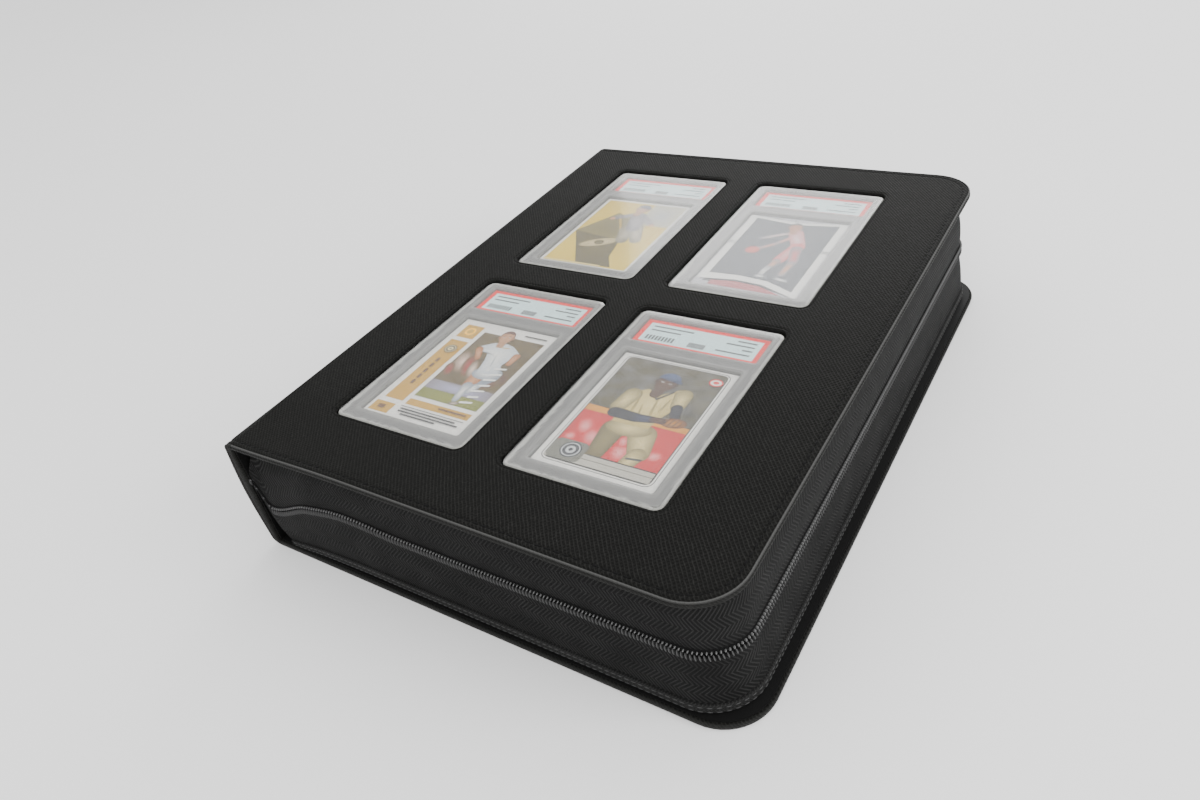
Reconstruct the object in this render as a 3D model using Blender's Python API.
"""Zip-around trading card binder with four graded-card windows in its front cover.

The binder lies closed on its back cover. X runs from the spine to the fore-edge, Y towards the
tops of the cards and Z up; the origin is at the middle of the footprint, on the table. Sizes are
written in millimetres and turned into metres where the meshes are made.
"""

from math import asin, cos, pi, radians, sin, sqrt

import bmesh
import bpy
from mathutils import Matrix

MM = 0.001
GAP = 0.35  # between pieces that rest on or against each other

# Whole binder
WIDTH = 284.0
LENGTH = 374.0
HEIGHT = 75.0
FORE_RADIUS = 25.0  # the two rounded corners of each cover
SPINE_RADIUS = 3.0
FRONT_INSET = 7.5  # the front cover stops this much short of the back one

# Covers, from the outside in: leather, board, lining
LEATHER = 1.3
BOARD = 1.45
LINING = 0.6
COVER = LEATHER + BOARD + LINING + 2 * GAP
FOLD = 4.3  # leather left free at each spine corner for the cover to fold

# Graded-card cases and the windows that show them
CASE_WIDTH = 82.5
CASE_LENGTH = 136.5
CASE_THICK = 5.1
CASE_RADIUS = 4.0
CARD_WIDTH = 63.5
CARD_LENGTH = 88.9
CARD_CENTRE = -13.5  # along the case, from its middle
LABEL_WIDTH = 70.5
LABEL_LENGTH = 22.0
LABEL_CENTRE = 52.4
WINDOW_GAP_X = 24.0
WINDOW_GAP_Y = 25.4
WINDOW_CENTRE = (-7.5, 2.5)
WINDOW_PLAY = 0.75  # opening beyond the case, all round
FILM = 0.5
FILM_LAP = 1.7  # film hidden under the leather
POCKET_WALL = 1.0

# Zip and gusset, on a U path that follows the near, fore and far edges
ZIP_X = 132.0
ZIP_Y = 180.0
ZIP_RADIUS = 22.0
ZIP_START = -130.0  # where the zip ends beside the spine
ZIP_HEIGHT = 38.6
COIL_WIDTH = 2.2
COIL_DEPTH = 2.6
TAPE = 1.2
TAPE_PROFILE = [(0.0, 3.4), (12.0, 3.2), (22.0, 2.4), (31.0, 0.9), (ZIP_HEIGHT, 0.0),
                (46.0, 0.1), (54.0, -0.5), (63.0, -2.2), (HEIGHT, -5.4)]  # height, outward offset
HEM = 1.2
HEM_HEIGHT = 5.0

# Ring mechanism on the back cover
RING_X = -111.0
RING_Z = 26.0
RING_RADIUS = 20.0
RING_WIRE = 1.6
RING_PITCH = 108.0
RING_PIVOT_Z = 7.0
RING_SWING_ROOM = 2.8  # half width of the plate's slots for the rings
PLATE_LENGTH = 250.0
PLATE_WIDTH = 28.0
PLATE_TOP = 10.0
PLATE_WALL = 1.0
ROCKER = 1.2
ROCKER_IN = 3.0  # a rocker bar's two edges, from the middle of the plate
ROCKER_OUT = 11.5
RIVET_RADIUS = 2.0
LEVER_REACH = 12.0
LEVER_HALF_WIDTH = 5.0

# Pages of two by two card pockets
PAGES = 4
PAGE_LIFTS = [12.5, 16.5, 20.8, 25.75]  # height of each page's punched strip
PAGE_SHEET = 0.6
PAGE_FILM = 0.3
PAGE_PITCH = 6.7
PAGE_MARGIN = 8.0  # punched edge to the ring
PAGE_RAMP = 14.0  # ring to the pockets
PAGE_SEAM = 4.5
PAGE_STRIP = 122.0  # half length of the punched strip
HOLE_LENGTH = 12.0
HOLE_WIDTH = 6.0

# Zip slider
SLIDER_START = -112.0
SLIDER_LENGTH = 10.0
SLIDER_HEIGHT = 11.0
SLIDER_PLATE = 1.2
SLIDER_FLANGE = 1.9  # the raised middle of the slider, beyond the coil
BAIL_RISE = 1.9  # the bail's bar above the slider
BAIL_BAR = 0.6  # radius
PULL_LENGTH = 26.0
PULL_WIDTH = 7.0
PULL_THICK = 1.2
EYE_OUT = 1.75
EYE_IN = 0.95

ARC_STEPS = 6  # straight pieces in a wide quarter turn
SMALL_ARC_STEPS = 3
SMALL_RADIUS = 8.0


# ---------------------------------------------------------------- helpers

def clear_scene():
    for item in list(bpy.data.objects):
        bpy.data.objects.remove(item, do_unlink=True)


def material(name, colour, roughness, metallic=0.0):
    """A plain Principled material in the piece's own colour."""
    made = bpy.data.materials.new(name)
    made.use_nodes = True
    shader = made.node_tree.nodes["Principled BSDF"]
    shader.inputs["Base Color"].default_value = (*colour, 1.0)
    shader.inputs["Roughness"].default_value = roughness
    shader.inputs["Metallic"].default_value = metallic
    return made


def finish(name, bm, look):
    """Turn a bmesh in millimetres into a named object in metres."""
    bmesh.ops.scale(bm, vec=(MM, MM, MM), verts=bm.verts)
    mesh = bpy.data.meshes.new(name)
    bm.to_mesh(mesh)
    bm.free()
    mesh.materials.append(material(name, *look))
    made = bpy.data.objects.new(name, mesh)
    bpy.context.collection.objects.link(made)
    return made


def rounded(x0, y0, x1, y1, left=0.0, right=0.0):
    """Corner points of a rectangle, anticlockwise, rounded at its left and right ends."""
    points = []
    for cx, cy, r, start in ((x1, y1, right, 0), (x0, y1, left, 90),
                             (x0, y0, left, 180), (x1, y0, right, 270)):
        mx = cx - r if cx == x1 else cx + r
        my = cy - r if cy == y1 else cy + r
        if r == 0:
            points.append((mx, my))
            continue
        steps = ARC_STEPS if r > SMALL_RADIUS else SMALL_ARC_STEPS
        for i in range(steps + 1):
            a = radians(start + 90 * i / steps)
            points.append((mx + r * cos(a), my + r * sin(a)))
    return points


def add_prism(bm, outline, z0, z1):
    """Extrude an anticlockwise outline between two heights."""
    low = [bm.verts.new((x, y, z0)) for x, y in outline]
    high = [bm.verts.new((x, y, z1)) for x, y in outline]
    bm.faces.new(low[::-1])
    bm.faces.new(high)
    for i in range(len(low)):
        j = (i + 1) % len(low)
        bm.faces.new((low[i], low[j], high[j], high[i]))


def add_box(bm, x0, x1, y0, y1, z0, z1):
    add_prism(bm, [(x0, y0), (x1, y0), (x1, y1), (x0, y1)], z0, z1)


def add_loft(bm, loops):
    """Close a row of equal anticlockwise loops into one solid, seen from its last loop."""
    rows = [[bm.verts.new(p) for p in loop] for loop in loops]
    bm.faces.new(rows[0][::-1])
    bm.faces.new(rows[-1])
    for a, b in zip(rows, rows[1:]):
        for i in range(len(a)):
            j = (i + 1) % len(a)
            bm.faces.new((a[i], a[j], b[j], b[i]))


def prism(name, outline, z0, z1, look):
    bm = bmesh.new()
    add_prism(bm, outline, z0, z1)
    return finish(name, bm, look)


def cut(target, cutter):
    """Take a hidden cutter away from a piece with an exact Boolean."""
    cutter.hide_render = True
    cutter.display_type = "WIRE"
    step = target.modifiers.new("cut_" + cutter.name, "BOOLEAN")
    step.operation = "DIFFERENCE"
    step.solver = "EXACT"
    step.object = cutter


def weld(target, other):
    """Fuse a hidden shape into a piece with an exact Boolean."""
    other.hide_render = True
    other.display_type = "WIRE"
    step = target.modifiers.new("weld_" + other.name, "BOOLEAN")
    step.operation = "UNION"
    step.solver = "EXACT"
    step.object = other


def put_on(child, parent):
    """Parent without moving the child."""
    child.parent = parent
    child.matrix_parent_inverse = parent.matrix_world.inverted()


def pivot(name, x, y, z):
    """An empty on a joint's axis."""
    empty = bpy.data.objects.new(name, None)
    empty.location = (x * MM, y * MM, z * MM)
    bpy.context.collection.objects.link(empty)
    bpy.context.view_layer.update()
    return empty


def interpolate(table, at):
    """Straight-line value between the rows of a table."""
    for (x0, y0), (x1, y1) in zip(table, table[1:]):
        if x0 <= at <= x1:
            return y0 + (y1 - y0) * (at - x0) / (x1 - x0)
    raise ValueError(at)


# ---------------------------------------------------------------- covers

LEATHER_LOOK = ((0.026, 0.026, 0.024), 0.55)
BOARD_LOOK = ((0.35, 0.33, 0.29), 0.9)
LINING_LOOK = ((0.03, 0.03, 0.032), 0.85)
BACK_LAYERS = [("leather", LEATHER, 0.0, LEATHER_LOOK), ("board", BOARD, 2.5, BOARD_LOOK),
               ("lining", LINING, 1.5, LINING_LOOK)]


def window_centres():
    """Middles of the four windows: near row first, spine side first."""
    half_x = (CASE_WIDTH + WINDOW_GAP_X) / 2
    half_y = (CASE_LENGTH + WINDOW_GAP_Y) / 2
    cx, cy = WINDOW_CENTRE
    return [(cx + sx * half_x, cy + sy * half_y) for sy in (-1, 1) for sx in (-1, 1)]


def case_outline(centre, grow=0.0):
    x, y = centre
    w = CASE_WIDTH / 2 + grow
    h = CASE_LENGTH / 2 + grow
    r = max(CASE_RADIUS + grow, 0.5)
    return rounded(x - w, y - h, x + w, y + h, r, r)


def cover_layers(side, x1, holes):
    """Leather, board and lining of one cover; holes gives each layer's window growth."""
    x0 = -WIDTH / 2 + FOLD
    half = LENGTH / 2
    made = []
    depth = 0.0
    for layer, thick, inset, look in BACK_LAYERS:
        z0, z1 = depth, depth + thick
        if side == "front":
            z0, z1 = HEIGHT - z1, HEIGHT - z0
        outline = rounded(x0, -half + inset, x1 - inset, half - inset, SPINE_RADIUS,
                          FORE_RADIUS - inset)
        piece = prism(f"{side}_cover_{layer}", outline, z0, z1, look)
        if layer in holes:
            bm = bmesh.new()
            for centre in window_centres():
                add_prism(bm, case_outline(centre, holes[layer]), z0 - 2, z1 + 2)
            cut(piece, finish(f"cut_{side}_{layer}", bm, LINING_LOOK))
        made.append(piece)
        depth += thick + GAP
    return made


def spine_layers():
    half = LENGTH / 2
    made = []
    depth = 0.0
    for layer, thick, inset, look in BACK_LAYERS:
        x0 = -WIDTH / 2 + depth
        bm = bmesh.new()
        add_box(bm, x0, x0 + thick, -half + inset, half - inset, FOLD, HEIGHT - FOLD)
        made.append(finish(f"spine_{layer}", bm, look))
        depth += thick + GAP
    return made


# ---------------------------------------------------------------- windows and cases

FILM_LOOK = ((0.85, 0.88, 0.9), 0.08)
CASE_LOOK = ((0.78, 0.8, 0.8), 0.12)
CARD_LOOK = ((0.75, 0.72, 0.64), 0.4)
LABEL_LOOK = ((0.8, 0.82, 0.86), 0.5)
FILM_TOP = HEIGHT - LEATHER - GAP
CASE_TOP = FILM_TOP - FILM - GAP
CASE_FACE = 2.7  # front half, with the recesses for the card and the label
RECESS = 0.9
CARD = 0.5


def windows():
    """Film, pocket, two case halves, card and label behind each opening."""
    made = []
    for n, centre in enumerate(window_centres(), 1):
        x, y = centre
        film = prism(f"window_film_{n}", case_outline(centre, WINDOW_PLAY + FILM_LAP),
                     FILM_TOP - FILM, FILM_TOP, FILM_LOOK)

        joint = CASE_TOP - CASE_FACE
        face = prism(f"case_front_{n}", case_outline(centre), joint, CASE_TOP, CASE_LOOK)
        bm = bmesh.new()
        for width, length, along in ((CARD_WIDTH, CARD_LENGTH, CARD_CENTRE),
                                     (LABEL_WIDTH, LABEL_LENGTH, LABEL_CENTRE)):
            w, h = width / 2 + GAP, length / 2 + GAP
            add_box(bm, x - w, x + w, y + along - h, y + along + h, joint - 1, joint + RECESS)
        cut(face, finish(f"cut_case_{n}", bm, CASE_LOOK))
        back = prism(f"case_back_{n}", case_outline(centre),
                     CASE_TOP - CASE_THICK, joint - GAP, CASE_LOOK)

        bm = bmesh.new()
        add_box(bm, x - CARD_WIDTH / 2, x + CARD_WIDTH / 2, y + CARD_CENTRE - CARD_LENGTH / 2,
                y + CARD_CENTRE + CARD_LENGTH / 2, joint, joint + CARD)
        card = finish(f"card_{n}", bm, CARD_LOOK)
        bm = bmesh.new()
        add_box(bm, x - LABEL_WIDTH / 2, x + LABEL_WIDTH / 2, y + LABEL_CENTRE - LABEL_LENGTH / 2,
                y + LABEL_CENTRE + LABEL_LENGTH / 2, joint, joint + CARD)
        label = finish(f"label_{n}", bm, LABEL_LOOK)
        made += [film, face, back, card, label, pocket(n, centre)]
    return made


def pocket(n, centre):
    """Tray sewn behind the lining: open on top, and at its far end so a case slides in."""
    x, y = centre
    w = CASE_WIDTH / 2 + WINDOW_PLAY
    h = CASE_LENGTH / 2 + WINDOW_PLAY
    floor = CASE_TOP - CASE_THICK - GAP
    top = HEIGHT - COVER - GAP
    tray = prism(f"window_pocket_{n}", rounded(x - w - POCKET_WALL, y - h - POCKET_WALL,
                                               x + w + POCKET_WALL, y + h, 2.0, 2.0),
                 floor - LINING, top, LINING_LOOK)
    bm = bmesh.new()
    add_box(bm, x - w, x + w, y - h, y + h + 5, floor, top + 2)
    cut(tray, finish(f"cut_pocket_{n}", bm, LINING_LOOK))
    return tray


# ---------------------------------------------------------------- gusset and zip

TAPE_LOOK = ((0.018, 0.018, 0.019), 0.8)
COIL_LOOK = ((0.02, 0.02, 0.02), 0.3)
METAL_LOOK = ((0.07, 0.07, 0.075), 0.3, 1.0)
ENDS = (("near", -1), ("far", 1))


def zip_path():
    """Points and outward directions along the zip, from the near end to the far one."""
    cx = ZIP_X - ZIP_RADIUS
    cy = ZIP_Y - ZIP_RADIUS
    path = [((ZIP_START, -ZIP_Y), (0.0, -1.0))]
    for start, y in ((-90, -cy), (0, cy)):
        for i in range(ARC_STEPS + 1):
            a = radians(start + 90 * i / ARC_STEPS)
            out = (cos(a), sin(a))
            path.append(((cx + ZIP_RADIUS * out[0], y + ZIP_RADIUS * out[1]), out))
    path.append(((ZIP_START, ZIP_Y), (0.0, 1.0)))
    return path


def sweep(name, profile, look):
    """Carry an anticlockwise profile of (outward, height) points along the zip's path."""
    bm = bmesh.new()
    loops = [[(x + u * ox, y + u * oy, z) for u, z in profile] for (x, y), (ox, oy) in zip_path()]
    add_loft(bm, [loop[::-1] for loop in loops])
    bmesh.ops.recalc_face_normals(bm, faces=bm.faces)
    return finish(name, bm, look)


def tape_wall(z0, z1, thick, lift=0.0):
    """Profile of a wall along the bowed gusset, lifted outwards off its outer face."""
    levels = [z0] + [z for z, _ in TAPE_PROFILE if z0 < z < z1] + [z1]
    outer = [(interpolate(TAPE_PROFILE, z) + lift, z) for z in levels]
    return [(u, z) for u, z in outer] + [(u - thick, z) for u, z in reversed(outer)]


def gusset():
    """Two woven tapes with their hems, and the two coil rows between them."""
    low, high = COVER + GAP, HEIGHT - COVER - GAP
    edge = COIL_WIDTH + GAP / 2
    coil_out = COIL_DEPTH / 2
    made = {"back": [], "front": []}
    for side, z0, z1, coil in (
            ("back", low, ZIP_HEIGHT - edge - GAP, (ZIP_HEIGHT - edge, ZIP_HEIGHT - GAP / 2)),
            ("front", ZIP_HEIGHT + edge + GAP, high, (ZIP_HEIGHT + GAP / 2, ZIP_HEIGHT + edge))):
        hem = (z0, z0 + HEM_HEIGHT) if side == "back" else (z1 - HEM_HEIGHT, z1)
        word = "lower" if side == "back" else "upper"
        made[side] = [
            sweep(f"{word}_gusset_tape", tape_wall(z0, z1, TAPE), TAPE_LOOK),
            sweep(f"{word}_gusset_hem", tape_wall(*hem, HEM, HEM + GAP), TAPE_LOOK),
            sweep(f"{word}_zip_coil", [(-coil_out, coil[0]), (coil_out, coil[0]),
                                       (coil_out, coil[1]), (-coil_out, coil[1])], COIL_LOOK)]
    return made


def zip_stops():
    """A clip at each end of the lower coil."""
    made = []
    for word, side in ENDS:
        bm = bmesh.new()
        add_box(bm, ZIP_START - 3, ZIP_START - GAP, side * ZIP_Y - 1.8, side * ZIP_Y + 1.8,
                ZIP_HEIGHT - COIL_WIDTH - 1, ZIP_HEIGHT - GAP / 2)
        made.append(finish(f"zip_stop_{word}", bm, METAL_LOOK))
    return made


def add_round(bm, centre, axis, radius, length, sides=12):
    """A cylinder centred at a point, its length along X, Y or Z."""
    turn = {"X": Matrix.Rotation(pi / 2, 4, "Y"), "Y": Matrix.Rotation(pi / 2, 4, "X"),
            "Z": Matrix.Identity(4)}[axis]
    bmesh.ops.create_cone(bm, cap_ends=True, segments=sides, radius1=radius, radius2=radius,
                          depth=length, matrix=Matrix.Translation(centre) @ turn)


def slider():
    """Outer and inner slider plates on the far run of the zip, with the bail for the pull."""
    x0 = SLIDER_START - SLIDER_LENGTH / 2
    x1 = x0 + SLIDER_LENGTH
    z0 = ZIP_HEIGHT - SLIDER_HEIGHT / 2
    z1 = z0 + SLIDER_HEIGHT
    outer = ZIP_Y + COIL_DEPTH / 2 + GAP + 0.25
    inner = ZIP_Y - COIL_DEPTH / 2 - 2 * GAP
    top = outer + SLIDER_PLATE
    flange = COIL_WIDTH + SLIDER_FLANGE
    bm = bmesh.new()
    section = [(z0, outer), (ZIP_HEIGHT - flange - 0.9, outer - 0.4),
               (ZIP_HEIGHT - flange, outer), (ZIP_HEIGHT + flange, outer),
               (ZIP_HEIGHT + flange + 0.9, outer - 0.4), (z1, outer),
               (z1 - 1, top), (z0 + 1, top)]
    add_loft(bm, [[(x, y, z) for z, y in section] for x in (x0, x1)])
    # bail: two lugs that hold a bar, with an open middle for the pull's eye
    bar_y = top + BAIL_RISE
    bar_half = PULL_WIDTH / 2 - 1.0
    body = finish("zip_slider", bm, METAL_LOOK)
    bm = bmesh.new()
    for side in (-1, 1):
        zc = ZIP_HEIGHT + side * (bar_half + BAIL_BAR)
        add_box(bm, SLIDER_START - 1.1, SLIDER_START + 1.1, top - 0.2, bar_y + 0.9,
                zc - BAIL_BAR, zc + BAIL_BAR)
    weld(body, finish("bail_lugs", bm, METAL_LOOK))
    bm = bmesh.new()
    add_round(bm, (SLIDER_START, bar_y, ZIP_HEIGHT), "Z", BAIL_BAR, 2 * bar_half + 0.4)
    weld(body, finish("bail_bar", bm, METAL_LOOK))
    bm = bmesh.new()
    add_box(bm, x0 + 1, x1 - 1, inner - TAPE - SLIDER_PLATE, inner - TAPE, z0 + 1, z1 - 1)
    plate = finish("zip_slider_inner_plate", bm, METAL_LOOK)
    return body, plate, bar_y


def pull_tab(bar_y):
    """Flat pull with an eye round the bail's bar."""
    half = PULL_WIDTH / 2 - 1.0 - GAP
    bm = bmesh.new()
    ring = []
    sides = 16
    for r in (EYE_OUT, EYE_IN):
        ring.append([(SLIDER_START + r * cos(2 * pi * i / sides), bar_y + r * sin(2 * pi * i / sides))
                     for i in range(sides)])
    low = [[bm.verts.new((x, y, ZIP_HEIGHT - half)) for x, y in loop] for loop in ring]
    high = [[bm.verts.new((x, y, ZIP_HEIGHT + half)) for x, y in loop] for loop in ring]
    for i in range(sides):
        j = (i + 1) % sides
        bm.faces.new((low[0][i], low[0][j], high[0][j], high[0][i]))
        bm.faces.new((low[1][j], low[1][i], high[1][i], high[1][j]))
        bm.faces.new((high[0][i], high[0][j], high[1][j], high[1][i]))
        bm.faces.new((low[0][j], low[0][i], low[1][i], low[1][j]))
    pull = finish("pull_tab", bm, METAL_LOOK)
    x0 = SLIDER_START + EYE_OUT - 0.25
    z0, z1 = ZIP_HEIGHT - half, ZIP_HEIGHT + half
    wide = PULL_WIDTH / 2
    x1 = SLIDER_START + PULL_LENGTH
    blade = [(x0, z0), (x0 + 3, z0), (x0 + 5, ZIP_HEIGHT - wide), (x1 - 2, ZIP_HEIGHT - wide),
             (x1, ZIP_HEIGHT - wide + 2), (x1, ZIP_HEIGHT + wide - 2), (x1 - 2, ZIP_HEIGHT + wide),
             (x0 + 5, ZIP_HEIGHT + wide), (x0 + 3, z1), (x0, z1)]
    y0, y1 = bar_y - PULL_THICK / 2, bar_y + PULL_THICK / 2
    bm = bmesh.new()
    add_loft(bm, [[(x, y, z) for x, z in blade] for y in (y1, y0)])
    weld(pull, finish("pull_blade", bm, METAL_LOOK))
    return pull


# ---------------------------------------------------------------- rings

STEEL_LOOK = ((0.62, 0.63, 0.65), 0.25, 1.0)
LEVER_ZONE = PLATE_LENGTH / 2


def ring_stations():
    return [-RING_PITCH, 0.0, RING_PITCH]


def cover_plate():
    """Arched plate that hides the rockers, slotted where the rings pass."""
    w, h = PLATE_WIDTH / 2, PLATE_LENGTH / 2
    base = COVER + GAP
    arch = [(-w, base), (-w, PLATE_TOP - 2), (-w + 2, PLATE_TOP), (w - 2, PLATE_TOP),
            (w, PLATE_TOP - 2), (w, base)]
    t = PLATE_WALL
    hollow = [(w - t, base), (w - t, PLATE_TOP - 2.4), (w - 2.4, PLATE_TOP - t),
              (-w + 2.4, PLATE_TOP - t), (-w + t, PLATE_TOP - 2.4), (-w + t, base)]
    bm = bmesh.new()
    outline = arch + hollow
    add_loft(bm, [[(RING_X + x, y, z) for x, z in outline] for y in (-h, h)])
    bmesh.ops.recalc_face_normals(bm, faces=bm.faces)
    plate = finish("ring_cover_plate", bm, STEEL_LOOK)
    bm = bmesh.new()
    for y in ring_stations():
        for side in (-1, 1):
            a, b = sorted((side * 5.5, side * (w + 2)))
            add_box(bm, RING_X + a, RING_X + b, y - RING_SWING_ROOM, y + RING_SWING_ROOM,
                    base + 0.9, PLATE_TOP + 2)
    for y in (-RING_PITCH / 2, RING_PITCH / 2):
        add_round(bm, (RING_X, y, PLATE_TOP), "Z", RIVET_RADIUS + GAP, 6)
    cut(plate, finish("cut_ring_plate", bm, STEEL_LOOK))
    return plate


def plate_rivets():
    """Rivets between the rings that hold the plate down to the cover."""
    made = []
    for word, side in ENDS:
        y = side * RING_PITCH / 2
        bm = bmesh.new()
        levels = [(COVER + GAP, RIVET_RADIUS), (PLATE_TOP + GAP, RIVET_RADIUS),
                  (PLATE_TOP + GAP, 3.8), (PLATE_TOP + 1.1, 3.2), (PLATE_TOP + 1.5, 1.8)]
        loops = [[(RING_X + r * cos(2 * pi * i / 12), y + r * sin(2 * pi * i / 12), z)
                  for i in range(12)] for z, r in levels]
        add_loft(bm, loops)
        made.append(finish(f"plate_rivet_{word}", bm, STEEL_LOOK))
    return made


def ring_half(word, side):
    """A rocker bar with three half rings that meet the other side's at the top."""
    half = PLATE_LENGTH / 2 - 4
    bm = bmesh.new()
    a, b = sorted((side * ROCKER_IN, side * ROCKER_OUT))
    z0 = RING_PIVOT_Z - ROCKER / 2
    add_box(bm, RING_X + a, RING_X + b, -half, half, z0, z0 + ROCKER)
    bar = finish(f"ring_half_{word}", bm, STEEL_LOOK)
    bm = bmesh.new()
    # the wire leaves the bar and follows the circle to the top
    low = asin((RING_PIVOT_Z - RING_Z) / RING_RADIUS)
    tip = pi / 2 - GAP / RING_RADIUS
    steps = 2 * ARC_STEPS
    for y in ring_stations():
        loops = []
        for i in range(steps + 1):
            t = low + (tip - low) * i / steps
            cx, cz = cos(t), sin(t)
            loop = []
            for k in range(8):
                a = 2 * pi * k / 8
                r = RING_RADIUS + RING_WIRE * cos(a)
                loop.append((RING_X + side * r * cx, y + RING_WIRE * sin(a), RING_Z + r * cz))
            loops.append(loop)
        add_loft(bm, loops)
    bmesh.ops.recalc_face_normals(bm, faces=bm.faces)
    weld(bar, finish(f"ring_wires_{word}", bm, STEEL_LOOK))
    return bar


def ring_lever(word, side):
    """Thumb lever at one end of the plate."""
    y0 = side * (LEVER_ZONE + 0.6)
    foot = COVER + GAP + 1.0
    # a stem that leans outwards, then a thumb pad
    profile = [(0.0, foot), (3.0, foot), (4.5, foot + 8.0), (LEVER_REACH, foot + 12.0),
               (LEVER_REACH, foot + 13.5), (3.4, foot + 9.6), (1.2, foot + 5.5),
               (0.0, foot + 3.0)]
    bm = bmesh.new()
    add_loft(bm, [[(RING_X + x, y0 + side * y, z) for y, z in profile]
                  for x in (-LEVER_HALF_WIDTH, LEVER_HALF_WIDTH)])
    bmesh.ops.recalc_face_normals(bm, faces=bm.faces)
    return finish(f"ring_lever_{word}", bm, STEEL_LOOK)


# ---------------------------------------------------------------- pages

PAGE_LOOK = ((0.1, 0.1, 0.105), 0.4)


def page(n):
    """Page sheet stepped up to its punched strip, and the film and cases of its pockets."""
    lift = PAGE_LIFTS[n - 1]
    flat = COVER + 2 * GAP + 0.6 + (n - 1) * PAGE_PITCH
    hole = RING_X + sqrt(RING_RADIUS ** 2 - (lift - RING_Z) ** 2)
    x0 = hole - PAGE_MARGIN
    x2 = hole + PAGE_RAMP
    width = 2 * CASE_WIDTH + 3 * PAGE_SEAM
    height = 2 * CASE_LENGTH + 3 * PAGE_SEAM
    x3 = x2 + width
    t = PAGE_SHEET / 2
    mid = flat + t
    line = [(x0, lift), (hole + 6, lift), (x2, mid), (x3, mid)]
    profile = [(x, z - t) for x, z in line] + [(x, z + t) for x, z in reversed(line)]
    bm = bmesh.new()
    add_loft(bm, [[(x, y, z) for x, z in profile] for y in (-height / 2, height / 2)])
    bmesh.ops.recalc_face_normals(bm, faces=bm.faces)
    sheet = finish(f"page_{n}", bm, PAGE_LOOK)
    bm = bmesh.new()
    for y in ring_stations():
        r = HOLE_WIDTH / 2
        add_prism(bm, rounded(hole - HOLE_LENGTH / 2 + 0.5, y - r, hole + HOLE_LENGTH / 2 + 0.5,
                              y + r, r * 0.98, r * 0.98), lift - 3, lift + 3)
    for side in (-1, 1):
        a, b = sorted((side * PAGE_STRIP, side * (height / 2 + 5)))
        add_box(bm, x0 - 5, x2, a, b, flat - 5, lift + 5)
    cut(sheet, finish(f"cut_page_{n}", bm, PAGE_LOOK))

    floor = mid + t + GAP
    top = floor + CASE_THICK
    bm = bmesh.new()
    add_box(bm, x2, x3, -height / 2, height / 2, top - 0.1, top + PAGE_FILM)
    pockets = finish(f"page_{n}_pockets", bm, CASE_LOOK)
    bm = bmesh.new()
    for column in (0, 1):
        for row in (-1, 1):
            cx = x2 + PAGE_SEAM + CASE_WIDTH / 2 + column * (CASE_WIDTH + PAGE_SEAM)
            cy = row * (CASE_LENGTH + PAGE_SEAM) / 2
            add_prism(bm, case_outline((cx, cy)), floor, top)
    weld(pockets, finish(f"page_{n}_cases", bm, CASE_LOOK))
    return [sheet, pockets]


# ---------------------------------------------------------------- assembly

clear_scene()

back_body = cover_layers("back", WIDTH / 2, {})
front_body = cover_layers("front", WIDTH / 2 - FRONT_INSET,
                          {"leather": WINDOW_PLAY, "board": WINDOW_PLAY + FILM_LAP + GAP,
                           "lining": WINDOW_PLAY})
spine_body = spine_layers()
zip_body = gusset()
back_body += zip_body["back"] + zip_stops() + [cover_plate()] + plate_rivets()
front_body += zip_body["front"] + windows()

fold_low = pivot("spine_fold", -WIDTH / 2 + 2, 0, 2)
fold_high = pivot("front_cover_fold", -WIDTH / 2 + 2, 0, HEIGHT - 2)
for piece in spine_body:
    put_on(piece, fold_low)
put_on(fold_high, fold_low)
for piece in front_body:
    put_on(piece, fold_high)

for word, side in (("left", -1), ("right", 1)):
    axis = pivot(f"ring_{word}_swing", RING_X, 0, RING_PIVOT_Z)
    put_on(ring_half(word, side), axis)
for word, side in ENDS:
    axis = pivot(f"ring_lever_{word}_swing", RING_X, side * (LEVER_ZONE + 2.0), COVER + GAP + 2.5)
    put_on(ring_lever(word, side), axis)
for n in range(1, PAGES + 1):
    axis = pivot(f"page_{n}_turn", RING_X, 0, RING_Z)
    for piece in page(n):
        put_on(piece, axis)

slider_body, slider_plate, bar_y = slider()
run = pivot("zip_run", SLIDER_START, ZIP_Y, ZIP_HEIGHT)
swing = pivot("pull_swing", SLIDER_START, bar_y, ZIP_HEIGHT)
for piece in (slider_body, slider_plate):
    put_on(piece, run)
put_on(swing, run)
put_on(pull_tab(bar_y), swing)
